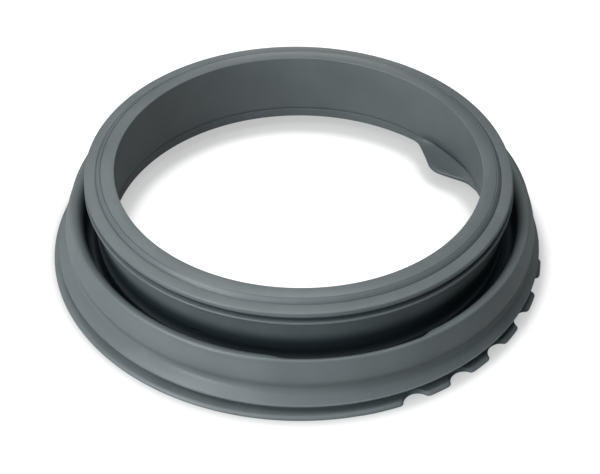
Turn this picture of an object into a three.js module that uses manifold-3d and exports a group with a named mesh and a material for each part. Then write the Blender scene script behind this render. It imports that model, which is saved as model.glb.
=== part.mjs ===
// Washing machine door seal: one moulded rubber bellows ring.
// Millimetres, +Z up. The seal lies on its wide flange, axis on Z, floor at z = 0.
import * as THREE from "three";
import { mergeVertices } from "three/addons/utils/BufferGeometryUtils.js";
import Module from "manifold-3d";

const wasm = await Module();
wasm.setup();

// Overall size and sheet
const HEIGHT = 81;
const FLANGE_RADIUS = 198.8;
const SHEET = 2.8;
const SEGMENTS = 72;
const ARC_STEPS = 2;

// Inner skirt, from the mouth down to its free foot
const MOUTH_RADIUS = 144.4;
const SKIRT_FOOT_RADIUS = 155.5;
const SKIRT_DROP = 69.4;
const SCORE_DROP = 59.8;
const SCORE_DEPTH = 0.9;
const SCORE_WIDTH = 1.6;

// Flat top face with one step
const FACE_WIDTH = 11.4;
const STEP_RUN = 3.2;
const STEP_DROP = 2.5;
const BAND_RADIUS = 168.2;
const BAND_FALL = 0.8;
const LIP_HEIGHT = 4;

// Clamp groove and the rib under it
const GROOVE_HEIGHT = 4.6;
const GROOVE_DEPTH = 4.6;
const RIB_RADIUS = 169;
const RIB_HEIGHT = 2.6;

// Outer fold: channel wall, ridge low in the channel, channel floor
const WALL_TOP_RADIUS = 165.6;
const WALL_FOOT_RADIUS = 161.6;
const WALL_FOOT_DROP = 49;
const RIDGE_RADIUS = 164;
const RIDGE_DROP = 53.3;
const FLOOR_DROP = 64.8;
const CHANNEL_OUTER_RADIUS = 173.8;

// Rolled crest and the waist below it
const CREST_INNER_DROP = 34.2;
const CREST_INNER_DEPTH = 9.6;
const CREST_RADIUS = 183.6;
const CREST_DROP = 34.9;
const CREST_EDGE_RADIUS = 188.9;
const CREST_EDGE_DROP = 52;
const WAIST_RADIUS = 185.9;
const WAIST_DROP = 60.8;

// Shoulder, panel slot and flange
const SHOULDER_RADIUS = 195.2;
const SHOULDER_DROP = 69.2;
const LIP_THICKNESS = 2;
const SLOT_ROOT_RADIUS = 188;
const FLANGE_THICKNESS = 3.1;

// Scallops in the flange rim, evenly pitched about the flap
const SCALLOP_COUNT = 18;
const SCALLOP_PITCH = 12;
const SCALLOP_RADIUS = 11.6;
const SCALLOP_DEPTH = 7.4;
const SCALLOP_MID_ANGLE = 38.4;

// Flap on the skirt's foot
const FLAP_MID_ANGLE = 35.2;
const FLAP_HALF_ANGLE = 15.4;
const FLAP_TIP_RADIUS = 136;
const FLAP_THICKNESS = 3.6;

// Recess along the crest's inner side
const RECESS_START = -97;
const RECESS_END = -56.5;
const RECESS_DEPTH = 3.2;
const RECESS_RUN_OUT = 4;

// Drain slit in the channel wall
const SLIT_ANGLE = -116.7;
const SLIT_DROP = 45.2;
const SLIT_WIDTH = 13.4;
const SLIT_HEIGHT = 3;
const SLIT_TILT = 9;

// At rest the folds and the skirt's foot lean a little to +X of the top face
const FOLD_LEAN = 1.8;
const FOLD_LEAN_RUN = 40;
const SKIRT_LEAN = 3.5;

const CUT_MARGIN = 2;
const RAD = Math.PI / 180;

const material = new THREE.MeshStandardMaterial({ name: "rubber", color: 0x75807f, roughness: 0.6 });

// Returns the corner list with every corner that has a radius replaced by a short arc.
function roundCorners(corners) {
  const points = [];
  corners.forEach(([r, z, radius = 0, steps = ARC_STEPS], i) => {
    const here = new THREE.Vector2(r, z);
    if (radius === 0) {
      points.push(here);
      return;
    }
    const last = corners[(i + corners.length - 1) % corners.length];
    const next = corners[(i + 1) % corners.length];
    const toLast = new THREE.Vector2(last[0], last[1]).sub(here);
    const toNext = new THREE.Vector2(next[0], next[1]).sub(here);
    const reach = Math.min(radius, toLast.length() * 0.49, toNext.length() * 0.49);
    const a = here.clone().add(toLast.setLength(reach));
    const b = here.clone().add(toNext.setLength(reach));
    for (let k = 0; k <= steps; k += 1) {
      const t = k / steps;
      const p = a.clone().multiplyScalar((1 - t) ** 2);
      p.add(here.clone().multiplyScalar(2 * t * (1 - t)));
      p.add(b.clone().multiplyScalar(t ** 2));
      points.push(p);
    }
  });
  return points;
}

function smooth(t) {
  const c = Math.min(1, Math.max(0, t));
  return c * c * (3 - 2 * c);
}

// Inner radius of the skirt at a drop below the mouth.
function skirtAt(drop) {
  return MOUTH_RADIUS + (SKIRT_FOOT_RADIUS - MOUTH_RADIUS) * (drop / SKIRT_DROP);
}

// Section of the seal, as radius, height and rounding of each corner.
function section() {
  const drop = (d) => HEIGHT - d;
  const stepStart = MOUTH_RADIUS + FACE_WIDTH;
  const stepEnd = stepStart + STEP_RUN;
  const bandEdge = STEP_DROP + BAND_FALL;
  const grooveTop = bandEdge + LIP_HEIGHT;
  const grooveFoot = grooveTop + GROOVE_HEIGHT;
  const grooveRoot = BAND_RADIUS - GROOVE_DEPTH;
  const ribFoot = grooveFoot + RIB_HEIGHT;
  const scoreHalf = SCORE_WIDTH / 2;
  const crestInner = CREST_INNER_DROP + CREST_INNER_DEPTH;
  const crestUnder = CREST_DROP + SHEET * 1.8;
  const slotTop = SHOULDER_DROP + LIP_THICKNESS;
  const flangeDrop = HEIGHT - FLANGE_THICKNESS;
  return roundCorners([
    [skirtAt(SKIRT_DROP), drop(SKIRT_DROP), 0.8, 1],
    [skirtAt(SCORE_DROP + scoreHalf), drop(SCORE_DROP + scoreHalf)],
    [skirtAt(SCORE_DROP) + SCORE_DEPTH, drop(SCORE_DROP)],
    [skirtAt(SCORE_DROP - scoreHalf), drop(SCORE_DROP - scoreHalf)],
    [MOUTH_RADIUS, drop(0), 1.2],
    [stepStart, drop(0)],
    [stepEnd, drop(STEP_DROP)],
    [BAND_RADIUS, drop(bandEdge), 1.4],
    [BAND_RADIUS, drop(grooveTop), 0.8, 1],
    [grooveRoot, drop(grooveTop + 0.3)],
    [grooveRoot, drop(grooveFoot - 0.3)],
    [RIB_RADIUS, drop(grooveFoot), 1.3],
    [RIB_RADIUS, drop(ribFoot - 0.8)],
    [WALL_TOP_RADIUS, drop(ribFoot)],
    [WALL_TOP_RADIUS - 0.8, drop(WALL_FOOT_DROP * 0.6)],
    [WALL_FOOT_RADIUS, drop(WALL_FOOT_DROP)],
    [RIDGE_RADIUS, drop(RIDGE_DROP), 2],
    [RIDGE_RADIUS - 0.8, drop(FLOOR_DROP), 5],
    [CHANNEL_OUTER_RADIUS, drop(FLOOR_DROP), 5],
    [CHANNEL_OUTER_RADIUS, drop(crestInner), 2, 1],
    [CHANNEL_OUTER_RADIUS + 2.2, drop(CREST_INNER_DROP + 2.4), 4, 1],
    [CREST_RADIUS - 3, drop(CREST_INNER_DROP)],
    [CREST_RADIUS, drop(CREST_DROP - 0.4)],
    [CREST_EDGE_RADIUS - 3.4, drop(CREST_DROP + 3.4), 3, 1],
    [CREST_EDGE_RADIUS - 0.4, drop(CREST_EDGE_DROP - 6)],
    [CREST_EDGE_RADIUS, drop(CREST_EDGE_DROP)],
    [WAIST_RADIUS, drop(WAIST_DROP), 4, 1],
    [SHOULDER_RADIUS, drop(SHOULDER_DROP), 0.7, 1],
    [SHOULDER_RADIUS - 0.8, drop(slotTop - 0.3)],
    [SLOT_ROOT_RADIUS, drop(slotTop + 0.2)],
    [SLOT_ROOT_RADIUS, drop(flangeDrop)],
    [FLANGE_RADIUS - 2.2, drop(flangeDrop + 0.3)],
    [FLANGE_RADIUS, drop(flangeDrop + 1.6), 1, 1],
    [FLANGE_RADIUS, 0, 1.2, 1],
    [SLOT_ROOT_RADIUS - SHEET - 1, 0],
    [WAIST_RADIUS - SHEET + 0.6, drop(WAIST_DROP)],
    [CREST_EDGE_RADIUS - SHEET, drop(CREST_EDGE_DROP - 2)],
    [CREST_EDGE_RADIUS - SHEET - 3, drop(crestUnder), 3, 1],
    [CHANNEL_OUTER_RADIUS + SHEET, drop(crestUnder), 3, 1],
    [CHANNEL_OUTER_RADIUS + SHEET, drop(FLOOR_DROP + SHEET), 6, 1],
    [WALL_FOOT_RADIUS - SHEET + 1.4, drop(FLOOR_DROP + SHEET), 6, 1],
    [WALL_FOOT_RADIUS - SHEET + 1.4, drop(RIDGE_DROP + 2)],
    [WALL_FOOT_RADIUS - SHEET, drop(WALL_FOOT_DROP)],
    [WALL_TOP_RADIUS - SHEET - 0.6, drop(WALL_FOOT_DROP * 0.6)],
    [grooveRoot - SHEET, drop(grooveTop), 3, 1],
    [stepEnd - 0.8, drop(bandEdge + SHEET - 0.4)],
    [stepStart - 0.6, drop(SHEET)],
    [skirtAt(SHEET) + SHEET, drop(SHEET)],
    [skirtAt(SKIRT_DROP) + SHEET, drop(SKIRT_DROP)],
  ]);
}

// How far a point of the roll moves outward for the recess in the crest.
function recessShift(angle, r, z) {
  if (r < CHANNEL_OUTER_RADIUS - 3.5 || r > CREST_RADIUS + 2) {
    return 0;
  }
  const d = HEIGHT - z;
  const along = smooth((angle - RECESS_START) / RECESS_RUN_OUT) * smooth((RECESS_END - angle) / RECESS_RUN_OUT);
  const upDown = smooth((FLOOR_DROP - 2 - d) / (FLOOR_DROP - CREST_DROP - 10));
  const across = smooth((CREST_RADIUS + 2 - r) / 9);
  return RECESS_DEPTH * along * upDown * across;
}

// Lean of a point: none at the top face and the flange, most at the skirt's foot.
function leanAt(r, z) {
  const d = HEIGHT - z;
  if (r < skirtAt(d) + SHEET + 0.3) {
    return (SKIRT_LEAN * d) / SKIRT_DROP;
  }
  const lean = FOLD_LEAN * smooth(d / FOLD_LEAN_RUN);
  if (r < CHANNEL_OUTER_RADIUS) {
    return lean;
  }
  return lean * (1 - smooth((d - WAIST_DROP) / (HEIGHT - WAIST_DROP)));
}

function revolve(points) {
  const loop = [...points].reverse();
  const geometry = new THREE.LatheGeometry([...loop, loop[0]], SEGMENTS);
  geometry.rotateX(Math.PI / 2);
  const position = geometry.getAttribute("position");
  for (let i = 0; i < position.count; i += 1) {
    const x = position.getX(i);
    const y = position.getY(i);
    const z = position.getZ(i);
    const r = Math.hypot(x, y);
    const scale = 1 + recessShift(Math.atan2(y, x) / RAD, r, z) / r;
    position.setXY(i, x * scale + leanAt(r, z), y * scale);
  }
  return geometry;
}

function toManifold(geometry) {
  geometry.deleteAttribute("normal");
  geometry.deleteAttribute("uv");
  const merged = mergeVertices(geometry, 1e-4);
  const vertProperties = new Float32Array(merged.getAttribute("position").array);
  const triVerts = new Uint32Array(merged.getIndex().array);
  return new wasm.Manifold(new wasm.Mesh({ numProp: 3, vertProperties, triVerts }));
}

function toGeometry(solid) {
  const mesh = solid.getMesh();
  const geometry = new THREE.BufferGeometry();
  geometry.setAttribute("position", new THREE.BufferAttribute(new Float32Array(mesh.vertProperties), 3));
  geometry.setIndex(new THREE.BufferAttribute(new Uint32Array(mesh.triVerts), 1));
  geometry.computeVertexNormals();
  return geometry;
}

function polar(radius, angle, z = 0) {
  return [radius * Math.cos(angle * RAD), radius * Math.sin(angle * RAD), z];
}

function scallops() {
  const first = SCALLOP_MID_ANGLE - (SCALLOP_PITCH * (SCALLOP_COUNT - 1)) / 2;
  const centre = FLANGE_RADIUS - SCALLOP_DEPTH + SCALLOP_RADIUS;
  const height = FLANGE_THICKNESS + CUT_MARGIN + 1;
  const cutter = wasm.Manifold.cylinder(height, SCALLOP_RADIUS, SCALLOP_RADIUS, 28);
  const cuts = [];
  for (let i = 0; i < SCALLOP_COUNT; i += 1) {
    cuts.push(cutter.translate(polar(centre, first + i * SCALLOP_PITCH, -CUT_MARGIN)));
  }
  return wasm.Manifold.union(cuts);
}

// The flap is a thin pointed web whose root lies in the thickness of the skirt's foot.
function flap() {
  const top = HEIGHT - SKIRT_DROP + FLAP_THICKNESS + 0.6;
  const root = SKIRT_FOOT_RADIUS + SHEET / 2 - 0.4;
  const rim = [
    [root, FLAP_HALF_ANGLE],
    [152, 12.3],
    [144.7, 8.1],
    [FLAP_TIP_RADIUS + 2.5, 3.5],
    [FLAP_TIP_RADIUS + 0.6, 2],
    [FLAP_TIP_RADIUS, 0],
    [FLAP_TIP_RADIUS + 0.6, -2.1],
    [FLAP_TIP_RADIUS + 2.3, -3.5],
    [144.3, -7.3],
    [151.1, -10.7],
    [root, -FLAP_HALF_ANGLE],
    [root, -FLAP_HALF_ANGLE / 2],
    [root, 0],
    [root, FLAP_HALF_ANGLE / 2],
  ];
  const outline = rim.map(([r, a]) => polar(r, FLAP_MID_ANGLE + a).slice(0, 2));
  const web = new wasm.CrossSection([outline]).extrude(FLAP_THICKNESS);
  return web.translate([SKIRT_LEAN, 0, top - FLAP_THICKNESS]);
}

// The slit is a flat oval that runs right through the channel wall.
function slit() {
  const half = SLIT_WIDTH / 2;
  return wasm.Manifold.cylinder(4 * SHEET, half, half, 12, true)
    .scale([SLIT_HEIGHT / SLIT_WIDTH, 1, 1])
    .rotate([0, 90, 0])
    .rotate([SLIT_TILT, 0, 0])
    .translate([WALL_FOOT_RADIUS + 1, 0, HEIGHT - SLIT_DROP])
    .rotate([0, 0, SLIT_ANGLE]);
}

const body = toManifold(revolve(section()));
const seal = body.add(flap()).subtract(scallops()).subtract(slit());

const doorSeal = new THREE.Mesh(toGeometry(seal), material);
doorSeal.name = "door_seal";

const group = new THREE.Group();
group.name = "washing_machine_door_seal";
group.add(doorSeal);

export default group;
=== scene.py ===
"""Washing machine door seal: the moulded rubber ring, its finish and the studio round it."""
import logging
import math
from dataclasses import dataclass, field
from enum import Enum

import bmesh
import bpy
from mathutils import Matrix, Vector


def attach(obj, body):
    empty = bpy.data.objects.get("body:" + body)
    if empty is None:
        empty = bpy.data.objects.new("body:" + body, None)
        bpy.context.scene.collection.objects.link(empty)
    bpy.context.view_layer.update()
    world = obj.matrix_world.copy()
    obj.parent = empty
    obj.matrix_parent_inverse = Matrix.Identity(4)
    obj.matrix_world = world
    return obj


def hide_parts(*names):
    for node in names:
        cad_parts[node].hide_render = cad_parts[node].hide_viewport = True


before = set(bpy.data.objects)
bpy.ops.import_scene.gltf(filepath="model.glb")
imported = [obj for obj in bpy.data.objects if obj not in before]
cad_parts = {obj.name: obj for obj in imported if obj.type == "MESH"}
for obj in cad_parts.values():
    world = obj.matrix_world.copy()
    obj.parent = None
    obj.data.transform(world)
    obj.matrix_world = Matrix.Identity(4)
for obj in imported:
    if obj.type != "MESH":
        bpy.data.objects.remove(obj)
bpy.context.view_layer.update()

MM = 0.001
log = logging.getLogger("door_seal")


class Pull(Enum):
    """Weights that a point of the section carries into the swept ring."""

    RECESS = "recess_pull"
    SCALLOP = "scallop_pull"
    FLAP = "flap_pull"
    COVE = "cove_pull"
    RISE = "rise_pull"
    SCORE = "score_pull"
    # The next two weights carry painted shade: darkening in the cove above the flap's crease, and in the
    # outer fold, its hidden insides, creases and grooves.
    SHADE = "cove_painted_shade"
    PAINTED_SHADE = "fold_painted_shade"
    LEAN = "lean"


class Finish(Enum):
    """Names of the finishes."""

    RUBBER = "grey_rubber"
    FLOOR = "white_sweep"


def smooth(share: float) -> float:
    """Eased step from 0 to 1."""
    t = min(max(share, 0.0), 1.0)
    return t * t * (3 - 2 * t)


@dataclass
class Corner:
    """A corner of the section, in millimetres from the axis and below the top face."""

    radius: float
    drop: float
    rounding: float = 0.0
    steps: int = 4
    recess: float = 0.0
    scallop: float = 0.0
    flap: float = 0.0
    cove: float = 0.0
    rise: float = 0.0
    score: float = 0.0
    # shade and the next field are weights of painted shade: in the flap's cove, and in creases, grooves and
    # the fold.
    shade: float = 0.0
    painted_shade: float = 0.0

    def pulls(self) -> tuple[float, ...]:
        """The weights that a corner sets, in the order of Pull."""
        return (self.recess, self.scallop, self.flap, self.cove, self.rise, self.score, self.shade, self.painted_shade)


@dataclass
class SectionPoint:
    """A point of the finished outline, in metres, with its weights."""

    radius: float
    height: float
    pulls: tuple[float, ...]


@dataclass
class SealSection:
    """Sizes of the section in millimetres, and the outline that they give."""

    height: float = 81.0
    flange_radius: float = 198.8
    sheet: float = 2.8
    mouth_radius: float = 144.4
    skirt_foot_radius: float = 155.5
    skirt_drop: float = 69.4
    score_drop: float = 59.8
    score_depth: float = 0.9
    score_width: float = 1.6
    face_width: float = 11.4
    step_run: float = 3.2
    step_drop: float = 2.5
    crease_width: float = 0.9
    crease_depth: float = 0.75
    band_radius: float = 168.2
    band_fall: float = 0.8
    lip_height: float = 4.0
    groove_height: float = 4.6
    groove_depth: float = 4.6
    rib_radius: float = 169.0
    rib_height: float = 2.6
    wall_top_radius: float = 165.6
    wall_foot_radius: float = 161.6
    wall_foot_drop: float = 49.0
    ridge_radius: float = 164.0
    ridge_drop: float = 53.3
    floor_drop: float = 64.8
    channel_outer_radius: float = 173.8
    crest_inner_drop: float = 34.2
    crest_inner_depth: float = 9.6
    crest_radius: float = 183.6
    crest_drop: float = 34.9
    crest_edge_radius: float = 188.9
    crest_edge_drop: float = 52.0
    waist_radius: float = 185.9
    waist_drop: float = 60.8
    shoulder_radius: float = 195.2
    shoulder_drop: float = 69.2
    lip_thickness: float = 2.0
    slot_root_radius: float = 188.0
    flange_thickness: float = 3.1
    flap_thickness: float = 3.0
    fold_lean: float = 1.8
    fold_lean_run: float = 40.0
    skirt_lean: float = 3.5

    def lean_at(self, radius: float, drop: float) -> float:
        """Sideways lean of a point of the section.

        Args:
            radius: Distance from the axis.
            drop: Distance below the top face.

        Returns:
            Millimetres to the right: none at the top face and the flange, most at the skirt's foot.
        """
        if radius < self.skirt_at(drop) + self.sheet + 0.3:
            return self.skirt_lean * drop / self.skirt_drop
        lean = self.fold_lean * smooth(drop / self.fold_lean_run)
        if radius > self.channel_outer_radius:
            lean *= 1 - smooth((drop - self.waist_drop) / (self.height - self.waist_drop))
        return lean

    def fold_shade_at(self, radius: float, drop: float) -> float:
        """How much painted shade a point gets for lying inside the outer fold, where shade falls.

        Args:
            radius: Distance from the axis.
            drop: Distance below the top face.

        Returns:
            0 on the open faces, 1 deep in the fold.
        """
        back_of_skirt = self.skirt_at(drop) + self.sheet - 0.2
        back_of_wall = self.wall_foot_radius - self.sheet + 0.5
        # Painted shade: the hidden backs of the skirt and the wall are fully darkened.
        if back_of_skirt < radius < back_of_wall and drop > 20:
            return 1.0
        if not self.wall_foot_radius - 2 < radius < self.crest_radius:
            return 0.0
        if radius > self.channel_outer_radius + 0.01:
            return 0.55 * (1 - smooth((radius - self.channel_outer_radius) / 5))
        if radius > self.ridge_radius + 5:
            return smooth((drop - self.crest_inner_drop + 3) / 6)
        # Painted shade deepening down the channel wall, lighter on the ridge where it catches light.
        ridge = 1 - smooth(abs(drop - self.ridge_drop) / 3)
        return 0.25 * smooth((drop - 14.6) / 3) + 0.75 * smooth((drop - 25) / 14) - 0.45 * ridge

    def skirt_at(self, drop: float) -> float:
        """Inner radius of the skirt.

        Args:
            drop: Distance below the top face.

        Returns:
            The radius in millimetres.
        """
        share = drop / self.skirt_drop
        return self.mouth_radius + (self.skirt_foot_radius - self.mouth_radius) * share

    def skirt_corners(self) -> list[Corner]:
        """The free foot of the skirt with the flap's folds, then its inner face up to the mouth.

        Returns:
            Corners from the underside of the foot to the mouth.
        """
        half = self.score_width / 2
        foot = self.skirt_drop
        web = foot - self.flap_thickness
        low = self.skirt_foot_radius
        corners = [Corner(low + 1.6 - 0.2 * k, foot, flap=k / 7, rise=k / 14) for k in range(7)]
        corners += [
            Corner(low + 0.10, foot - 0.05, flap=1.0),
            Corner(low - 0.10, foot - 0.35, flap=1.03),
            Corner(low - 0.16, foot - 1.3, flap=1.045),
            Corner(low - 0.24, foot - 2.3, flap=1.03),
            Corner(low - 0.36, web + 0.1, flap=1.0),
        ]
        for k in range(1, 6):
            share = k / 6
            bend = (1 - share) ** 1.2
            radius = low - 0.36 - 0.05 * k
            corners.append(Corner(radius, web - 0.12 * k, flap=bend, rise=share**1.5, cove=share**2))
        score = self.score_drop
        crease = web - 0.72
        gap = crease - score - half
        # Painted shade in the cove above the flap's crease and along the score line.
        for k in range(0, 5):
            drop = crease - gap * k / 5
            radius = self.skirt_at(drop)
            corners.append(Corner(radius, drop, rise=1 - k / 5, cove=1 - 0.04 * k, shade=0.5 - 0.05 * k))
        groove = self.skirt_at(score) + self.score_depth
        corners += [
            Corner(self.skirt_at(score + half), score + half, cove=0.78, shade=0.25),
            Corner(groove, score, cove=0.7, score=1.0, shade=-0.25, painted_shade=0.5),
            Corner(self.skirt_at(score - half), score - half, cove=0.62, shade=0.2),
        ]
        for k in range(1, 7):
            drop = score - half - 1.7 * k
            left = 1 - k / 6
            corners.append(Corner(self.skirt_at(drop), drop, cove=0.62 * left**2, shade=0.2 * left))
        for k in range(1, 4):
            drop = (score - half - 10.2) * (1 - k / 4)
            corners.append(Corner(self.skirt_at(drop), drop))
        corners.append(Corner(self.mouth_radius, 0.0, 0.9, 6))
        return corners

    def face_corners(self) -> list[Corner]:
        """The flat top face, its step, the clamp groove and the rib.

        Returns:
            Corners from the step to the foot of the rib.
        """
        start = self.mouth_radius + self.face_width
        end = start + self.step_run
        edge = self.step_drop + self.band_fall
        groove_top = edge + self.lip_height
        groove_foot = groove_top + self.groove_height
        root = self.band_radius - self.groove_depth
        rib_foot = groove_foot + self.rib_height
        w, d = self.crease_width, self.crease_depth
        return [
            # Painted shade in the step's creases and at the root of the clamp groove.
            Corner(start - w, 0.0, 0.15, 1),
            Corner(start - w * 0.5, d, 0.1, 1, painted_shade=0.4),
            Corner(start, 0.02, 0.5, 3, painted_shade=0.12),
            Corner(end - w * 0.6, self.step_drop - w * 0.5, 0.15, 1, painted_shade=0.12),
            Corner(end, self.step_drop + d, 0.1, 1, painted_shade=0.4),
            Corner(end + w, self.step_drop + 0.03, 0.3, 2),
            Corner(self.band_radius, edge, 1.5, 6),
            Corner(self.band_radius, groove_top, 0.8, 2),
            Corner(root, groove_top + 0.3, 0.9, 2, painted_shade=0.6),
            Corner(root, groove_foot - 0.3, 0.9, 2, painted_shade=0.6),
            Corner(self.rib_radius, groove_foot, 1.4, 5),
            Corner(self.rib_radius, rib_foot - 0.8, 1.0, 2),
            Corner(self.wall_top_radius, rib_foot, 1.6, 2),
        ]

    def channel_corners(self) -> list[Corner]:
        """The wall down into the outer fold, its ridge and floor, and up to the roll.

        Returns:
            Corners from below the rib to the roll's inner leg.
        """
        outer = self.channel_outer_radius
        return [
            Corner(self.wall_top_radius - 0.8, self.wall_foot_drop * 0.6, 8.0, 4),
            Corner(self.wall_foot_radius, self.wall_foot_drop, 3.0, 3),
            Corner(self.ridge_radius, self.ridge_drop, 1.8, 6),
            Corner(self.ridge_radius - 0.8, self.floor_drop, 5.0, 4),
            Corner(outer, self.floor_drop, 5.0, 4, recess=0.0),
            Corner(outer, self.floor_drop - 10, recess=0.25),
            Corner(outer, self.floor_drop - 16, recess=0.6),
            Corner(outer, self.crest_inner_drop + self.crest_inner_depth + 2, recess=0.9),
        ]

    def roll_corners(self) -> list[Corner]:
        """The crest of the roll, the waist below it, the shoulder, the slot and the flange.

        Returns:
            Corners from the crest to the underside of the flange.
        """
        slot_top = self.shoulder_drop + self.lip_thickness
        flange = self.height - self.flange_thickness
        root = self.slot_root_radius
        rim = self.flange_radius
        inner = self.channel_outer_radius
        width, depth = self.crest_radius - inner, self.crest_inner_depth
        corners = []
        for k in range(10):
            turn = math.radians(10 * k)
            out, up = 1 - math.cos(turn), math.sin(turn)
            drop = self.crest_inner_drop + depth * (1 - up)
            corners.append(Corner(inner + width * out, drop, recess=1 - out))
        corners += [
            Corner(self.crest_edge_radius - 4.1, self.crest_drop + 3.4, 3.0, 4),
            Corner(self.crest_edge_radius - 1.2, self.crest_edge_drop - 6.0, 3.0, 4),
            Corner(self.crest_edge_radius, self.crest_edge_drop, 2.4, 5),
            Corner(self.waist_radius, self.waist_drop, 4.5, 7),
            Corner(self.shoulder_radius - 0.9, self.shoulder_drop - 0.1, 0.4, 2),
            Corner(self.shoulder_radius, self.shoulder_drop, 0.45, 4),
            Corner(self.shoulder_radius - 0.5, slot_top - 0.3, 0.6, 2),
            Corner(root, slot_top + 0.2, 0.8, 2),
            Corner(root, flange, 0.8, 2),
        ]
        for k in range(1, 5):
            radius = root + (rim - root) * k / 6
            corners.append(Corner(radius, flange + 0.3 * k / 6, scallop=k / 6))
        corners += [
            Corner(rim - 2.2, flange + 0.35, 1.0, 2, scallop=0.95),
            Corner(rim, flange + 1.6, 1.0, 4, scallop=1.0),
            Corner(rim, self.height, 0.7, 2, scallop=1.0),
            Corner((rim + root) / 2, self.height, scallop=0.6),
            Corner(root, self.height, scallop=0.1),
        ]
        return corners

    def hidden_corners(self) -> list[Corner]:
        """The inside of the folds, from the flange's inner edge round to the back of the skirt.

        Returns:
            Corners from the flange's inner edge to the skirt's back.
        """
        s = self.sheet
        outer = self.channel_outer_radius + s
        inner = self.wall_foot_radius - s
        edge = self.step_drop + self.band_fall
        start = self.mouth_radius + self.face_width
        return [
            Corner(self.slot_root_radius - s - 1, self.height, 0.6, 1),
            Corner(self.waist_radius - s + 0.6, self.waist_drop, 3.0, 1),
            Corner(self.crest_edge_radius - s, self.crest_edge_drop - 2.0, 3.0, 1),
            Corner(outer + 2, self.crest_inner_drop + 5.4, 3.0, 1, recess=0.8),
            Corner(outer, self.crest_inner_drop + 11, 2.0, 1, recess=0.9),
            Corner(outer, self.floor_drop - 16, recess=0.6),
            Corner(outer, self.floor_drop - 10, recess=0.25),
            Corner(outer, self.floor_drop + s, 6.0, 2),
            Corner(inner + 1.4, self.floor_drop + s, 6.0, 2),
            Corner(inner + 1.4, self.ridge_drop + 2),
            Corner(inner, self.wall_foot_drop, 2.0, 1),
            Corner(self.wall_top_radius - s - 0.6, self.wall_foot_drop * 0.6, 4.0, 1),
            Corner(self.band_radius - self.groove_depth - s, edge + self.lip_height, 3.0, 1),
            Corner(start + self.step_run - 0.8, edge + s - 0.4, 0.8, 1),
            Corner(start - 0.6, s, 0.8, 1),
            Corner(self.skirt_at(s) + s, s, 1.5, 1),
            Corner(self.skirt_at(30) + s, 30),
            Corner(self.skirt_at(self.skirt_drop) + s, self.skirt_drop, 0.8, 2),
        ]

    def outline(self) -> list[SectionPoint]:
        """The whole closed outline with its rounded corners.

        Returns:
            Points in order round the section.
        """
        corners = self.skirt_corners() + self.face_corners() + self.channel_corners()
        corners += self.roll_corners() + self.hidden_corners()
        points: list[SectionPoint] = []
        for i, here in enumerate(corners):
            last = corners[i - 1]
            following = corners[(i + 1) % len(corners)]
            points.extend(self._rounded(last, here, following))
        for point in points:
            drop = self.height - point.height / MM
            radius = point.radius / MM
            # Adds the fold's painted shade to the corner's own painted shade.
            *pulls, painted_shade = point.pulls
            painted_shade = min(painted_shade + self.fold_shade_at(radius, drop), 1.0)
            point.pulls = (*pulls, painted_shade, self.lean_at(radius, drop) * MM)
        return points

    def _rounded(self, last: Corner, here: Corner, following: Corner) -> list[SectionPoint]:
        """One corner as an arc of points, or as itself if it is sharp.

        Args:
            last: The corner before.
            here: The corner to round.
            following: The corner after.

        Returns:
            The points that take the corner's place.
        """
        p = Vector((here.radius, self.height - here.drop))
        if here.rounding <= 0:
            return [SectionPoint(p.x * MM, p.y * MM, here.pulls())]
        to_last = Vector((last.radius, self.height - last.drop)) - p
        to_next = Vector((following.radius, self.height - following.drop)) - p
        reach = min(here.rounding, to_last.length * 0.49, to_next.length * 0.49)
        a = p + to_last.normalized() * reach
        b = p + to_next.normalized() * reach
        share_a = reach / to_last.length
        share_b = reach / to_next.length
        points = []
        for k in range(here.steps + 1):
            t = k / here.steps
            q = a * (1 - t) ** 2 + p * (2 * t * (1 - t)) + b * t**2
            wa, wb = share_a * (1 - t) ** 2, share_b * t**2
            pulls = tuple(
                h * (1 - wa - wb) + la * wa + n * wb
                for la, h, n in zip(last.pulls(), here.pulls(), following.pulls())
            )
            points.append(SectionPoint(q.x * MM, q.y * MM, pulls))
        return points


@dataclass
class TreeInput:
    """A named input of a geometry tree."""

    name: str
    value: float
    whole: bool = False


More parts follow.
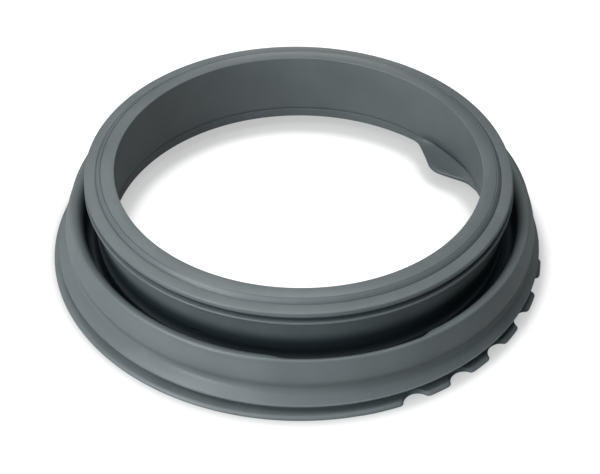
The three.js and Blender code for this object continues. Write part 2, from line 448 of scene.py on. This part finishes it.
@dataclass
class GeometryTree:
    """A geometry node tree with short ways to add and join nodes."""

    name: str
    inputs: list[TreeInput]
    tree: bpy.types.NodeTree = field(init=False)
    source: bpy.types.Node = field(init=False)
    result: bpy.types.Node = field(init=False)

    def __post_init__(self) -> None:
        """Makes the empty tree with its interface."""
        self.tree = bpy.data.node_groups.new(self.name, "GeometryNodeTree")
        face = self.tree.interface
        face.new_socket("Geometry", in_out="INPUT", socket_type="NodeSocketGeometry")
        for item in self.inputs:
            kind = "NodeSocketInt" if item.whole else "NodeSocketFloat"
            socket = face.new_socket(item.name, in_out="INPUT", socket_type=kind)
            socket.default_value = int(item.value) if item.whole else item.value
        face.new_socket("Geometry", in_out="OUTPUT", socket_type="NodeSocketGeometry")
        self.source = self.tree.nodes.new("NodeGroupInput")
        self.result = self.tree.nodes.new("NodeGroupOutput")

    def add(self, kind: str, **settings: object) -> bpy.types.Node:
        """Adds a node.

        Args:
            kind: The node's type name.
            **settings: Properties to set on it.

        Returns:
            The new node.
        """
        node = self.tree.nodes.new(kind)
        for key, value in settings.items():
            setattr(node, key, value)
        return node

    def join(self, out: object, into: bpy.types.NodeSocket) -> None:
        """Links an output, or sets a number.

        Args:
            out: A socket or a number.
            into: The socket that receives it.
        """
        if isinstance(out, bpy.types.NodeSocket):
            self.tree.links.new(out, into)
        else:
            into.default_value = out

    def math(self, operation: str, a: object, b: object = None, c: object = None) -> bpy.types.NodeSocket:
        """Adds a Math node.

        Args:
            operation: The operation's name.
            a: First socket or number.
            b: Second socket or number.
            c: Third socket or number.

        Returns:
            The node's output.
        """
        node = self.add("ShaderNodeMath", operation=operation)
        for value, socket in zip((a, b, c), node.inputs):
            if value is not None:
                self.join(value, socket)
        return node.outputs[0]

    def input(self, name: str) -> bpy.types.NodeSocket:
        """The group input socket of that name."""
        return self.source.outputs[name]

    def attach(self, target: bpy.types.Object) -> bpy.types.NodesModifier:
        """Puts the tree on an object with its values set by socket identifier.

        Args:
            target: The object that gets the modifier.

        Returns:
            The modifier.
        """
        modifier = target.modifiers.new(self.name, "NODES")
        modifier.node_group = self.tree
        values = {item.name: item for item in self.inputs}
        for socket in self.tree.interface.items_tree:
            if socket.item_type == "SOCKET" and socket.in_out == "INPUT" and socket.name in values:
                item = values[socket.name]
                modifier[socket.identifier] = int(item.value) if item.whole else float(item.value)
        return modifier


def plain_mesh(target: bpy.types.Object, name: str) -> bpy.types.Object:
    """Turns an object with live modifiers into one with a plain mesh.

    Args:
        target: The object to evaluate. It is removed.
        name: Name of the result.

    Returns:
        The new object.
    """
    bpy.context.view_layer.update()
    graph = bpy.context.evaluated_depsgraph_get()
    mesh = bpy.data.meshes.new_from_object(target.evaluated_get(graph), depsgraph=graph)
    mesh.name = name
    bpy.data.objects.remove(target)
    result = bpy.data.objects.new(name, mesh)
    bpy.context.scene.collection.objects.link(result)
    return result


@dataclass(frozen=True)
class RubberFinish:
    """Moulded grey rubber: satin skin with faint clouding, and painted shade in its folds and creases."""

    colour: tuple[float, float, float] = (0.205, 0.232, 0.238)
    shade: tuple[float, float, float] = (0.178, 0.203, 0.21)
    # Colour of the painted shade in the folds, creases and grooves.
    fold: tuple[float, float, float] = (0.03, 0.042, 0.05)
    roughness_low: float = 0.3
    roughness_high: float = 0.42
    grain_per_metre: float = 1400.0
    cloud_per_metre: float = 22.0
    grain_height: float = 0.00003
    grain_strength: float = 0.35

    def build(self) -> bpy.types.Material:
        """The material.

        Returns:
            A node material on Object coordinates.
        """
        material = bpy.data.materials.new(Finish.RUBBER.value)
        material.use_nodes = True
        nodes, links = material.node_tree.nodes, material.node_tree.links
        shader = nodes["Principled BSDF"]
        place = nodes.new("ShaderNodeTexCoord")
        cloud = nodes.new("ShaderNodeTexNoise")
        cloud.inputs["Scale"].default_value = self.cloud_per_metre
        cloud.inputs["Detail"].default_value = 4.0
        links.new(place.outputs["Object"], cloud.inputs["Vector"])
        ramp = nodes.new("ShaderNodeValToRGB")
        ramp.color_ramp.elements[0].position = 0.35
        ramp.color_ramp.elements[0].color = (*self.shade, 1)
        ramp.color_ramp.elements[1].position = 0.65
        ramp.color_ramp.elements[1].color = (*self.colour, 1)
        links.new(cloud.outputs["Fac"], ramp.inputs["Fac"])
        # Painted shade: the stored shade attribute mixes in the dark fold colour.
        depth = nodes.new("ShaderNodeAttribute")
        depth.attribute_name = Pull.PAINTED_SHADE.value
        painted_shade = nodes.new("ShaderNodeMix")
        painted_shade.data_type = "RGBA"
        painted_shade.inputs["B"].default_value = (*self.fold, 1)
        links.new(depth.outputs["Fac"], painted_shade.inputs["Factor"])
        links.new(ramp.outputs["Color"], painted_shade.inputs["A"])
        links.new(painted_shade.outputs["Result"], shader.inputs["Base Color"])
        wear = nodes.new("ShaderNodeMapRange")
        wear.inputs["To Min"].default_value = self.roughness_low
        wear.inputs["To Max"].default_value = self.roughness_high
        links.new(cloud.outputs["Fac"], wear.inputs["Value"])
        links.new(wear.outputs["Result"], shader.inputs["Roughness"])
        grain = nodes.new("ShaderNodeTexNoise")
        grain.inputs["Scale"].default_value = self.grain_per_metre
        grain.inputs["Detail"].default_value = 3.0
        links.new(place.outputs["Object"], grain.inputs["Vector"])
        bump = nodes.new("ShaderNodeBump")
        bump.inputs["Strength"].default_value = self.grain_strength
        bump.inputs["Distance"].default_value = self.grain_height
        links.new(grain.outputs["Fac"], bump.inputs["Height"])
        links.new(bump.outputs["Normal"], shader.inputs["Normal"])
        shader.inputs["IOR"].default_value = 1.5
        shader.inputs["Specular IOR Level"].default_value = 0.5
        return material


@dataclass
class SealRing:
    """The whole moulded ring: the section swept round, with its recess, scallops, flap and drain slit.

    Sizes are in millimetres and angles in degrees. The flap's outline and the pairs of shares count from
    its middle, 1 being its end, and each pair says where a form is gone and where it is whole.
    """

    section: SealSection = field(default_factory=SealSection)
    fine_step: float = 0.6
    coarse_step: float = 1.6
    fine_start: float = -72.0
    fine_span: float = 219.6
    weld_distance: float = 0.0001
    scallop_count: int = 18
    scallop_pitch: float = 12.0
    scallop_radius: float = 11.6
    scallop_depth: float = 7.4
    scallop_middle: float = 38.4
    scallop_blend: float = 0.4
    recess_start: float = -97.0
    recess_end: float = -56.5
    recess_depth: float = 3.2
    recess_run_out: float = 4.0
    flap_middle: float = 35.2
    flap_half: float = 15.8
    flap_reach: float = 18.5
    flap_outline: tuple[tuple[float, float], ...] = (
        (-1.0, 0.0),
        (-0.9, 0.06),
        (-0.77, 0.13),
        (-0.68, 0.23),
        (-0.54, 0.455),
        (-0.39, 0.68),
        (-0.22, 0.88),
        (-0.12, 0.97),
        (0.0, 1.0),
        (0.12, 0.965),
        (0.225, 0.87),
        (0.41, 0.66),
        (0.6, 0.425),
        (0.78, 0.18),
        (0.88, 0.06),
        (1.0, 0.0),
    )
    # Painted shade on the flap's face, and how far the flap must stand in from the skirt before it is at full
    # strength.
    flap_painted_shade: float = 0.3
    flap_painted_shade_reach: float = 4.0
    cove_depth: float = 3.0
    cove_shares: tuple[float, float] = (1.0, 0.45)
    crease_rise: float = 2.6
    crease_end_rise: float = 4.9
    crease_shares: tuple[float, float] = (1.5, 1.05)
    score_fill_shares: tuple[float, float] = (1.05, 0.92)
    slit_angle: float = -116.7
    slit_drop: float = 45.2
    slit_width: float = 13.4
    slit_height: float = 3.0
    slit_tilt: float = 9.0
    slit_reach: float = 5.0
    slit_points: int = 24

    def build(self, finish: bpy.types.Material) -> bpy.types.Object:
        """Sweeps the section and dresses the ring.

        Args:
            finish: The rubber material.

        Returns:
            The finished ring.
        """
        outline = self.section.outline()
        carrier = self._carrier(outline)
        tree = self._sweep_tree(len(outline), finish)
        tree.attach(carrier)
        ring = plain_mesh(carrier, "moulded_seal_ring")
        self._open_slit(ring, finish)
        log.info("ring: %d section points, %d faces", len(outline), len(ring.data.polygons))
        return ring

    def _carrier(self, outline: list[SectionPoint]) -> bpy.types.Object:
        """A mesh of loose points that carries the section and its weights into the tree.

        Args:
            outline: The section's points.

        Returns:
            The carrier object.
        """
        mesh = bpy.data.meshes.new("section")
        mesh.from_pydata([(p.radius, 0, p.height) for p in outline], [], [])
        for index, pull in enumerate(Pull):
            layer = mesh.attributes.new(pull.value, "FLOAT", "POINT")
            layer.data.foreach_set("value", [p.pulls[index] for p in outline])
        carrier = bpy.data.objects.new("section", mesh)
        bpy.context.scene.collection.objects.link(carrier)
        return carrier

    def _sweep_tree(self, count: int, finish: bpy.types.Material) -> GeometryTree:
        """The tree that sweeps the section round the axis.

        Args:
            count: Number of points in the section.
            finish: Material set on the result.

        Returns:
            The tree.
        """
        fine = round(self.fine_span / self.fine_step)
        coarse = round((360 - self.fine_span) / self.coarse_step)
        first = self.scallop_middle - self.scallop_pitch * (self.scallop_count - 1) / 2
        s = self.section
        tree = GeometryTree(
            "Seal sweep",
            [
                TreeInput("Fine Steps", fine, whole=True),
                TreeInput("Coarse Steps", coarse, whole=True),
                TreeInput("Fine Start", self.fine_start),
                TreeInput("Fine Step", self.fine_step),
                TreeInput("Coarse Step", (360 - fine * self.fine_step) / coarse),
                TreeInput("Rim Radius", s.flange_radius * MM),
                TreeInput("Scallop First", first),
                TreeInput("Scallop Pitch", self.scallop_pitch),
                TreeInput("Scallop Last", self.scallop_count - 1),
                TreeInput("Scallop Radius", self.scallop_radius * MM),
                TreeInput("Scallop Depth", self.scallop_depth * MM),
                TreeInput("Recess Start", self.recess_start),
                TreeInput("Recess End", self.recess_end),
                TreeInput("Recess Run Out", self.recess_run_out),
                TreeInput("Recess Depth", self.recess_depth * MM),
                TreeInput("Flap Middle", self.flap_middle),
                TreeInput("Flap Half Angle", self.flap_half),
                TreeInput("Flap Reach", self.flap_reach * MM),
                TreeInput("Flap Painted Shade", self.flap_painted_shade),
                TreeInput("Cove Depth", self.cove_depth * MM),
                TreeInput("Crease Rise", self.crease_rise * MM),
                TreeInput("Crease End Rise", self.crease_end_rise * MM),
                TreeInput("Score Depth", s.score_depth * MM),
                TreeInput("Skirt Slope", (s.skirt_foot_radius - s.mouth_radius) / s.skirt_drop),
            ],
        )
        t = tree
        steps = t.math("ADD", t.input("Fine Steps"), t.input("Coarse Steps"))
        grid = t.add("GeometryNodeMeshGrid")
        t.join(t.math("ADD", steps, 1.0), grid.inputs["Vertices X"])
        t.join(count + 1, grid.inputs["Vertices Y"])
        index = t.add("GeometryNodeInputIndex").outputs[0]
        column = t.math("FLOOR", t.math("DIVIDE", t.math("ADD", index, 0.5), count + 1.0))
        row = t.math("SUBTRACT", index, t.math("MULTIPLY", column, count + 1.0))
        row = t.math("FLOOR", t.math("ADD", t.math("MODULO", row, float(count)), 0.5))
        angle = self._angle(t, column)
        radius, height = self._section_sample(t, row)
        recess = self._window(t, angle)
        scallop = self._scallop_cut(t, angle, first)
        flap, cove, rise, plain = self._flap_reach(t, angle)
        radius = t.math("ADD", radius, t.math("MULTIPLY", recess, self._pull(t, Pull.RECESS, row)))
        radius = t.math("SUBTRACT", radius, t.math("MULTIPLY", scallop, self._pull(t, Pull.SCALLOP, row)))
        radius = t.math("SUBTRACT", radius, t.math("MULTIPLY", flap, self._pull(t, Pull.FLAP, row)))
        radius = t.math("ADD", radius, t.math("MULTIPLY", cove, self._pull(t, Pull.COVE, row)))
        radius = t.math("SUBTRACT", radius, t.math("MULTIPLY", plain, self._pull(t, Pull.SCORE, row)))
        climb = t.math("MULTIPLY", rise, self._pull(t, Pull.RISE, row))
        radius = t.math("SUBTRACT", radius, t.math("MULTIPLY", climb, t.input("Skirt Slope")))
        height = t.math("ADD", height, climb)
        turn = t.math("RADIANS", angle)
        place = t.add("ShaderNodeCombineXYZ")
        lean = self._pull(t, Pull.LEAN, row)
        t.join(t.math("MULTIPLY_ADD", radius, t.math("COSINE", turn), lean), place.inputs["X"])
        t.join(t.math("MULTIPLY", radius, t.math("SINE", turn)), place.inputs["Y"])
        t.join(height, place.inputs["Z"])
        move = t.add("GeometryNodeSetPosition")
        t.join(grid.outputs["Mesh"], move.inputs["Geometry"])
        t.join(place.outputs[0], move.inputs["Position"])
        # Stores painted shade: the section's fold and crease shade, the cove shade near the flap, and painted
        # shade on the flap's face.
        painted_shade = t.add("GeometryNodeStoreNamedAttribute", data_type="FLOAT", domain="POINT")
        painted_shade.inputs["Name"].default_value = Pull.PAINTED_SHADE.value
        t.join(move.outputs["Geometry"], painted_shade.inputs["Geometry"])
        cove_share = t.math("DIVIDE", cove, t.input("Cove Depth"))
        shade = t.math("MULTIPLY", cove_share, self._pull(t, Pull.SHADE, row))
        flap_shade = self._ease(t, flap, 0.0, self.flap_painted_shade_reach * MM)
        flap_shade = t.math("MULTIPLY", flap_shade, self._pull(t, Pull.FLAP, row))
        shade = t.math("MULTIPLY_ADD", flap_shade, t.input("Flap Painted Shade"), shade)
        t.join(t.math("ADD", shade, self._pull(t, Pull.PAINTED_SHADE, row)), painted_shade.inputs["Value"])
        weld = t.add("GeometryNodeMergeByDistance")
        t.join(painted_shade.outputs["Geometry"], weld.inputs["Geometry"])
        t.join(self.weld_distance * MM, weld.inputs["Distance"])
        soft = t.add("GeometryNodeSetShadeSmooth")
        t.join(weld.outputs["Geometry"], soft.inputs["Geometry"])
        real = t.add("GeometryNodeRealizeInstances")
        t.join(soft.outputs["Geometry"], real.inputs["Geometry"])
        dress = t.add("GeometryNodeSetMaterial")
        dress.inputs["Material"].default_value = finish
        t.join(real.outputs["Geometry"], dress.inputs["Geometry"])
        t.join(dress.outputs["Geometry"], t.result.inputs["Geometry"])
        return tree

    def _angle(self, t: GeometryTree, column: bpy.types.NodeSocket) -> bpy.types.NodeSocket:
        """Angle of a column in degrees: fine steps where the rim is scalloped, coarse ones elsewhere.

        Args:
            t: The tree.
            column: Number of the column.

        Returns:
            The angle socket.
        """
        fine_part = t.math("MINIMUM", column, t.input("Fine Steps"))
        coarse_part = t.math("MAXIMUM", t.math("SUBTRACT", column, t.input("Fine Steps")), 0.0)
        angle = t.math("MULTIPLY_ADD", fine_part, t.input("Fine Step"), t.input("Fine Start"))
        return t.math("MULTIPLY_ADD", coarse_part, t.input("Coarse Step"), angle)

    def _section_sample(
        self, t: GeometryTree, row: bpy.types.NodeSocket
    ) -> tuple[bpy.types.NodeSocket, bpy.types.NodeSocket]:
        """Radius and height of a row's section point.

        Args:
            t: The tree.
            row: Number of the row.

        Returns:
            The radius and height sockets.
        """
        sample = t.add("GeometryNodeSampleIndex", data_type="FLOAT_VECTOR", domain="POINT")
        t.join(t.input("Geometry"), sample.inputs["Geometry"])
        t.join(t.add("GeometryNodeInputPosition").outputs[0], sample.inputs["Value"])
        t.join(row, sample.inputs["Index"])
        split = t.add("ShaderNodeSeparateXYZ")
        t.join(sample.outputs["Value"], split.inputs[0])
        return split.outputs["X"], split.outputs["Z"]

    def _pull(self, t: GeometryTree, pull: Pull, row: bpy.types.NodeSocket) -> bpy.types.NodeSocket:
        """A row's weight.

        Args:
            t: The tree.
            pull: Which weight.
            row: Number of the row.

        Returns:
            The weight socket.
        """
        named = t.add("GeometryNodeInputNamedAttribute", data_type="FLOAT")
        named.inputs["Name"].default_value = pull.value
        sample = t.add("GeometryNodeSampleIndex", data_type="FLOAT", domain="POINT")
        t.join(t.input("Geometry"), sample.inputs["Geometry"])
        t.join(named.outputs["Attribute"], sample.inputs["Value"])
        t.join(row, sample.inputs["Index"])
        return sample.outputs["Value"]

    def _wrapped(self, t: GeometryTree, angle: bpy.types.NodeSocket, middle: object) -> bpy.types.NodeSocket:
        """An angle counted from a middle, between -180 and 180.

        Args:
            t: The tree.
            angle: The angle.
            middle: The angle that counts as zero.

        Returns:
            The wrapped angle socket.
        """
        return t.math("WRAP", t.math("SUBTRACT", angle, middle), 180.0, -180.0)

    def _window(self, t: GeometryTree, angle: bpy.types.NodeSocket) -> bpy.types.NodeSocket:
        """Depth of the recess at an angle, with soft ends.

        Args:
            t: The tree.
            angle: The angle.

        Returns:
            The depth socket in metres.
        """
        ends = []
        for name, sign in (("Recess Start", 1.0), ("Recess End", -1.0)):
            gone = t.math("MULTIPLY", self._wrapped(t, angle, t.input(name)), sign)
            ease = t.add("ShaderNodeMapRange", interpolation_type="SMOOTHSTEP")
            t.join(gone, ease.inputs["Value"])
            t.join(t.input("Recess Run Out"), ease.inputs["From Max"])
            ends.append(ease.outputs["Result"])
        return t.math("MULTIPLY", t.math("MULTIPLY", ends[0], ends[1]), t.input("Recess Depth"))

    def _scallop_cut(
        self, t: GeometryTree, angle: bpy.types.NodeSocket, first: float
    ) -> bpy.types.NodeSocket:
        """How far the rim is drawn in by the nearest scallop.

        Args:
            t: The tree.
            angle: The angle.
            first: Angle of the first scallop.

        Returns:
            The cut in metres.
        """
        turn = self._wrapped(t, angle, self.scallop_middle)
        turn = t.math("SUBTRACT", turn, first - self.scallop_middle)
        nearest = t.math("ROUND", t.math("DIVIDE", turn, t.input("Scallop Pitch")))
        nearest = t.math("MINIMUM", t.math("MAXIMUM", nearest, 0.0), t.input("Scallop Last"))
        off = t.math("SUBTRACT", turn, t.math("MULTIPLY", nearest, t.input("Scallop Pitch")))
        off = t.math("RADIANS", t.math("MINIMUM", t.math("ABSOLUTE", off), t.input("Scallop Pitch")))
        centre = t.math("SUBTRACT", t.input("Rim Radius"), t.input("Scallop Depth"))
        centre = t.math("ADD", centre, t.input("Scallop Radius"))
        aside = t.math("MULTIPLY", centre, t.math("SINE", off))
        square = t.math("POWER", t.input("Scallop Radius"), 2.0)
        room = t.math("SUBTRACT", square, t.math("POWER", aside, 2.0))
        half_chord = t.math("SQRT", t.math("MAXIMUM", room, 0.0))
        reach = t.math("SUBTRACT", t.math("MULTIPLY", centre, t.math("COSINE", off)), half_chord)
        cut = t.math("SUBTRACT", t.input("Rim Radius"), reach)
        return t.math("SMOOTH_MAX", cut, 0.0, self.scallop_blend * MM)

    def _flap_reach(self, t: GeometryTree, angle: bpy.types.NodeSocket) -> tuple[bpy.types.NodeSocket, ...]:
        """How far the flap stands in from the skirt, and how its crease and cove lie.

        Args:
            t: The tree.
            angle: The angle.

        Returns:
            The flap's reach, the cove's depth, the crease's rise and the score's filling in metres.
        """
        share = t.math("DIVIDE", self._wrapped(t, angle, t.input("Flap Middle")), t.input("Flap Half Angle"))
        curve = t.add("ShaderNodeFloatCurve")
        line = curve.mapping.curves[0]
        curve.mapping.clip_min_y = 0.0
        line.points[0].location = (0.0, 0.0)
        line.points[1].location = (1.0, 0.0)
        for x, y in self.flap_outline[1:-1]:
            line.points.new((x + 1) / 2, y)
        curve.mapping.update()
        t.join(t.math("MULTIPLY_ADD", share, 0.5, 0.5), curve.inputs["Value"])
        inside = t.math("LESS_THAN", t.math("ABSOLUTE", share), 1.0)
        flap = t.math("MULTIPLY", t.math("MULTIPLY", curve.outputs[0], inside), t.input("Flap Reach"))
        aside = t.math("ABSOLUTE", share)
        cove = t.math("MULTIPLY", self._ease(t, aside, *self.cove_shares), t.input("Cove Depth"))
        extra = t.math("SUBTRACT", t.input("Crease End Rise"), t.input("Crease Rise"))
        bow = t.math("MINIMUM", t.math("POWER", aside, 2.0), 1.0)
        rise = t.math("MULTIPLY_ADD", bow, extra, t.input("Crease Rise"))
        rise = t.math("MULTIPLY", rise, self._ease(t, aside, *self.crease_shares))
        filled = self._ease(t, aside, *self.score_fill_shares)
        plain = t.math("MULTIPLY", filled, t.input("Score Depth"))
        return flap, cove, rise, plain

    def _ease(
        self, t: GeometryTree, value: bpy.types.NodeSocket, none: float, full: float
    ) -> bpy.types.NodeSocket:
        """A soft step that is 0 at one value and 1 at another.

        Args:
            t: The tree.
            value: The value that decides.
            none: Where the step is 0.
            full: Where it is 1.

        Returns:
            The step's socket.
        """
        ease = t.add("ShaderNodeMapRange", interpolation_type="SMOOTHSTEP")
        t.join(value, ease.inputs["Value"])
        t.join(none, ease.inputs["From Min"])
        t.join(full, ease.inputs["From Max"])
        return ease.outputs["Result"]

    def _open_slit(self, ring: bpy.types.Object, finish: bpy.types.Material) -> None:
        """Cuts the drain slit through the channel wall.

        Args:
            ring: The swept ring.
            finish: The rubber material.
        """
        s = self.section
        half, rise = self.slit_width * MM / 2, self.slit_height * MM / 2
        turns = [2 * math.pi * k / self.slit_points for k in range(self.slit_points)]
        outline = [(half * math.cos(a), rise * math.sin(a) * abs(math.sin(a))) for a in turns]
        reach = self.slit_reach * MM
        bm = bmesh.new()
        rings = [[bm.verts.new((x, y, z)) for y, z in outline] for x in (-reach, reach)]
        bm.faces.new(rings[0])
        bm.faces.new(rings[1])
        for k in range(len(outline)):
            n = (k + 1) % len(outline)
            bm.faces.new((rings[0][k], rings[0][n], rings[1][n], rings[1][k]))
        bmesh.ops.recalc_face_normals(bm, faces=bm.faces)
        turn = Matrix.Rotation(math.radians(self.slit_angle), 4, "Z")
        tilt = Matrix.Rotation(math.radians(self.slit_tilt), 4, "X")
        middle = Matrix.Translation((s.wall_foot_radius * MM, 0, (s.height - self.slit_drop) * MM))
        bm.transform(turn @ middle @ tilt)
        mesh = bpy.data.meshes.new("slit_cutter")
        bm.to_mesh(mesh)
        bm.free()
        cutter = bpy.data.objects.new("slit_cutter", mesh)
        bpy.context.scene.collection.objects.link(cutter)
        cut = ring.modifiers.new("slit", "BOOLEAN")
        cut.operation = "DIFFERENCE"
        cut.solver = "EXACT"
        cut.object = cutter
        bpy.context.view_layer.update()
        graph = bpy.context.evaluated_depsgraph_get()
        opened = bpy.data.meshes.new_from_object(ring.evaluated_get(graph), depsgraph=graph)
        ring.modifiers.remove(cut)
        carved = {v for face in opened.polygons if not face.use_smooth for v in face.vertices}
        # Painted shade: the slit's cut faces get full shade so the slit reads dark.
        painted_shade = opened.attributes[Pull.PAINTED_SHADE.value]
        for vertex in carved:
            painted_shade.data[vertex].value = 1.0
        for edge in opened.edges:
            edge.use_edge_sharp = carved.issuperset(edge.vertices)
        opened.materials.clear()
        opened.materials.append(finish)
        old = ring.data
        ring.data = opened
        bpy.data.meshes.remove(old)
        bpy.data.objects.remove(cutter)


@dataclass(frozen=True)
class FloorFinish:
    """White sweep that stays white to the camera, keeps the seal's lamp shadow, and has a painted contact
    shadow round the seal.
    """

    colour: tuple[float, float, float] = (0.5, 0.5, 0.505)
    seen_colour: tuple[float, float, float] = (0.3, 0.3, 0.3)
    lift: float = 1.0
    # Reach, depth and range of the painted contact shadow.
    contact_reach: float = 0.026
    contact_shade: float = 0.5
    contact_start: float = 0.96
    contact_end: float = 0.7

    def build(self) -> bpy.types.Material:
        """The material.

        Returns:
            A diffuse floor with a little light of its own for camera rays, dimmed near the seal as a painted
            contact shadow.
        """
        material = bpy.data.materials.new(Finish.FLOOR.value)
        material.use_nodes = True
        nodes, links = material.node_tree.nodes, material.node_tree.links
        nodes.clear()
        out = nodes.new("ShaderNodeOutputMaterial")
        matt = nodes.new("ShaderNodeBsdfDiffuse")
        glow = nodes.new("ShaderNodeEmission")
        path = nodes.new("ShaderNodeLightPath")
        tint = nodes.new("ShaderNodeMix")
        tint.data_type = "RGBA"
        tint.inputs["A"].default_value = (*self.colour, 1)
        tint.inputs["B"].default_value = (*self.seen_colour, 1)
        links.new(path.outputs["Is Camera Ray"], tint.inputs["Factor"])
        links.new(tint.outputs["Result"], matt.inputs["Color"])
        seen = nodes.new("ShaderNodeMath")
        seen.operation = "MULTIPLY"
        seen.inputs[1].default_value = self.lift
        links.new(path.outputs["Is Camera Ray"], seen.inputs[0])
        # Painted contact shadow: ambient occlusion near the seal dims the floor's glow to the camera.
        contact = nodes.new("ShaderNodeAmbientOcclusion")
        contact.inputs["Distance"].default_value = self.contact_reach
        band = nodes.new("ShaderNodeMapRange")
        band.inputs["From Min"].default_value = self.contact_end
        band.inputs["From Max"].default_value = self.contact_start
        band.inputs["To Min"].default_value = self.contact_shade
        links.new(contact.outputs["AO"], band.inputs["Value"])
        shaded = nodes.new("ShaderNodeMath")
        shaded.operation = "MULTIPLY"
        links.new(seen.outputs[0], shaded.inputs[0])
        links.new(band.outputs["Result"], shaded.inputs[1])
        links.new(shaded.outputs[0], glow.inputs["Strength"])
        both = nodes.new("ShaderNodeAddShader")
        links.new(matt.outputs[0], both.inputs[0])
        links.new(glow.outputs[0], both.inputs[1])
        links.new(both.outputs[0], out.inputs["Surface"])
        return material


@dataclass
class Lamp:
    """A soft rectangular lamp that looks at the seal."""

    name: str
    place: tuple[float, float, float]
    size: float
    power: float
    colour: tuple[float, float, float] = (1.0, 1.0, 1.0)
    aim_height: float = 0.03

    def build(self) -> bpy.types.Object:
        """The lamp.

        Returns:
            The light object.
        """
        data = bpy.data.lights.new(self.name, "AREA")
        data.shape = "SQUARE"
        data.size = self.size
        data.energy = self.power
        data.color = self.colour
        lamp = bpy.data.objects.new(self.name, data)
        lamp.location = self.place
        gaze = Vector((0, 0, self.aim_height)) - Vector(self.place)
        lamp.rotation_euler = gaze.to_track_quat("-Z", "Y").to_euler()
        bpy.context.scene.collection.objects.link(lamp)
        return lamp


@dataclass
class Studio:
    """Floor, light and the camera at the photograph's view."""

    elevation: float = 41.219
    roll: float = 0.846
    distance: float = 1.1534
    aim: tuple[float, float, float] = (0.00185, 0.0, 0.00205)
    focal_pixels: float = 1400.0
    frame_width: int = 600
    world_light: float = 0.005
    world_colour: tuple[float, float, float] = (0.98, 0.99, 1.0)
    floor_half: float = 20.0
    lamps: tuple[Lamp, ...] = (
        Lamp("left_low_softbox", (-1.118, -1.332, 0.466), 0.7, 7.6, (0.9, 1.0, 1.03)),
        Lamp("front_left_low_softbox", (-0.894, -1.277, 0.900), 0.7, 3.9, (0.94, 1.0, 1.05)),
        Lamp("front_middle_softbox", (-0.396, -1.087, 1.379), 0.7, 1.6, (0.85, 1.0, 1.05)),
        Lamp("left_middle_softbox", (-1.002, -0.579, 1.379), 0.7, 10.4),
        Lamp("left_high_softbox", (-0.233, -0.403, 1.739), 0.7, 4.3),
        Lamp("right_high_softbox", (0.466, 0.000, 1.739), 0.7, 3.5, (0.95, 1.0, 1.04)),
        Lamp("back_high_softbox", (0.000, 0.466, 1.739), 0.7, 4.4, (1.03, 1.0, 0.94)),
        Lamp("back_low_softbox", (0.000, 1.739, 0.466), 0.7, 2.0),
        Lamp("back_left_middle_softbox", (-0.579, 1.002, 1.379), 0.7, 1.8),
    )

    def build(self) -> bpy.types.Object:
        """Builds the floor, light and camera.

        Returns:
            The floor.
        """
        floor = self._floor()
        for lamp in self.lamps:
            lamp.build()
        self._world()
        self._camera()
        return floor

    def _floor(self) -> bpy.types.Object:
        """A wide plane under the seal.

        Returns:
            The floor object.
        """
        bm = bmesh.new()
        bmesh.ops.create_grid(bm, x_segments=1, y_segments=1, size=self.floor_half)
        mesh = bpy.data.meshes.new("floor")
        bm.to_mesh(mesh)
        bm.free()
        mesh.materials.append(FloorFinish().build())
        floor = bpy.data.objects.new("floor", mesh)
        bpy.context.scene.collection.objects.link(floor)
        return floor

    def _world(self) -> None:
        """An even pale surround that is white to the camera."""
        world = bpy.data.worlds.new("surround")
        bpy.context.scene.world = world
        world.use_nodes = True
        nodes, links = world.node_tree.nodes, world.node_tree.links
        light = nodes["Background"]
        light.inputs["Strength"].default_value = self.world_light
        light.inputs["Color"].default_value = (*self.world_colour, 1)
        white = nodes.new("ShaderNodeBackground")
        white.inputs["Strength"].default_value = 1.0
        path = nodes.new("ShaderNodeLightPath")
        pick = nodes.new("ShaderNodeMixShader")
        links.new(path.outputs["Is Camera Ray"], pick.inputs["Fac"])
        links.new(light.outputs[0], pick.inputs[1])
        links.new(white.outputs[0], pick.inputs[2])
        links.new(pick.outputs[0], nodes["World Output"].inputs["Surface"])

    def _camera(self) -> None:
        """The camera, from its elevation, distance, roll and focal length."""
        tilt = math.radians(self.elevation)
        turn = math.radians(self.roll)
        back = Vector((0, -math.cos(tilt), math.sin(tilt)))
        right = Vector((1, 0, 0))
        up = right.cross(-back)
        side = right * math.cos(turn) + up * math.sin(turn)
        top = -right * math.sin(turn) + up * math.cos(turn)
        data = bpy.data.cameras.new("photo_view")
        data.sensor_fit = "HORIZONTAL"
        data.sensor_width = 36.0
        data.lens = self.focal_pixels / self.frame_width * data.sensor_width
        data.clip_start = 0.05
        data.clip_end = 100.0
        camera = bpy.data.objects.new("photo_view", data)
        eye = Vector(self.aim) + back * self.distance
        matrix = Matrix((side, top, back)).transposed().to_4x4()
        matrix.translation = eye
        camera.matrix_world = matrix
        bpy.context.scene.collection.objects.link(camera)
        bpy.context.scene.camera = camera


def main() -> None:
    """Builds the seal and the studio in order."""
    logging.basicConfig(level=logging.INFO, format="%(name)s %(message)s")
    bpy.context.scene.view_settings.view_transform = "Standard"
    floor = Studio().build()
    log.info("studio ready")
    rubber = RubberFinish().build()
    ring = SealRing().build(rubber)
    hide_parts("door_seal")
    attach(ring, "root")
    log.info("ring ready, box %s", [round(v, 4) for v in ring.dimensions])


if __name__ == "__main__":
    main()
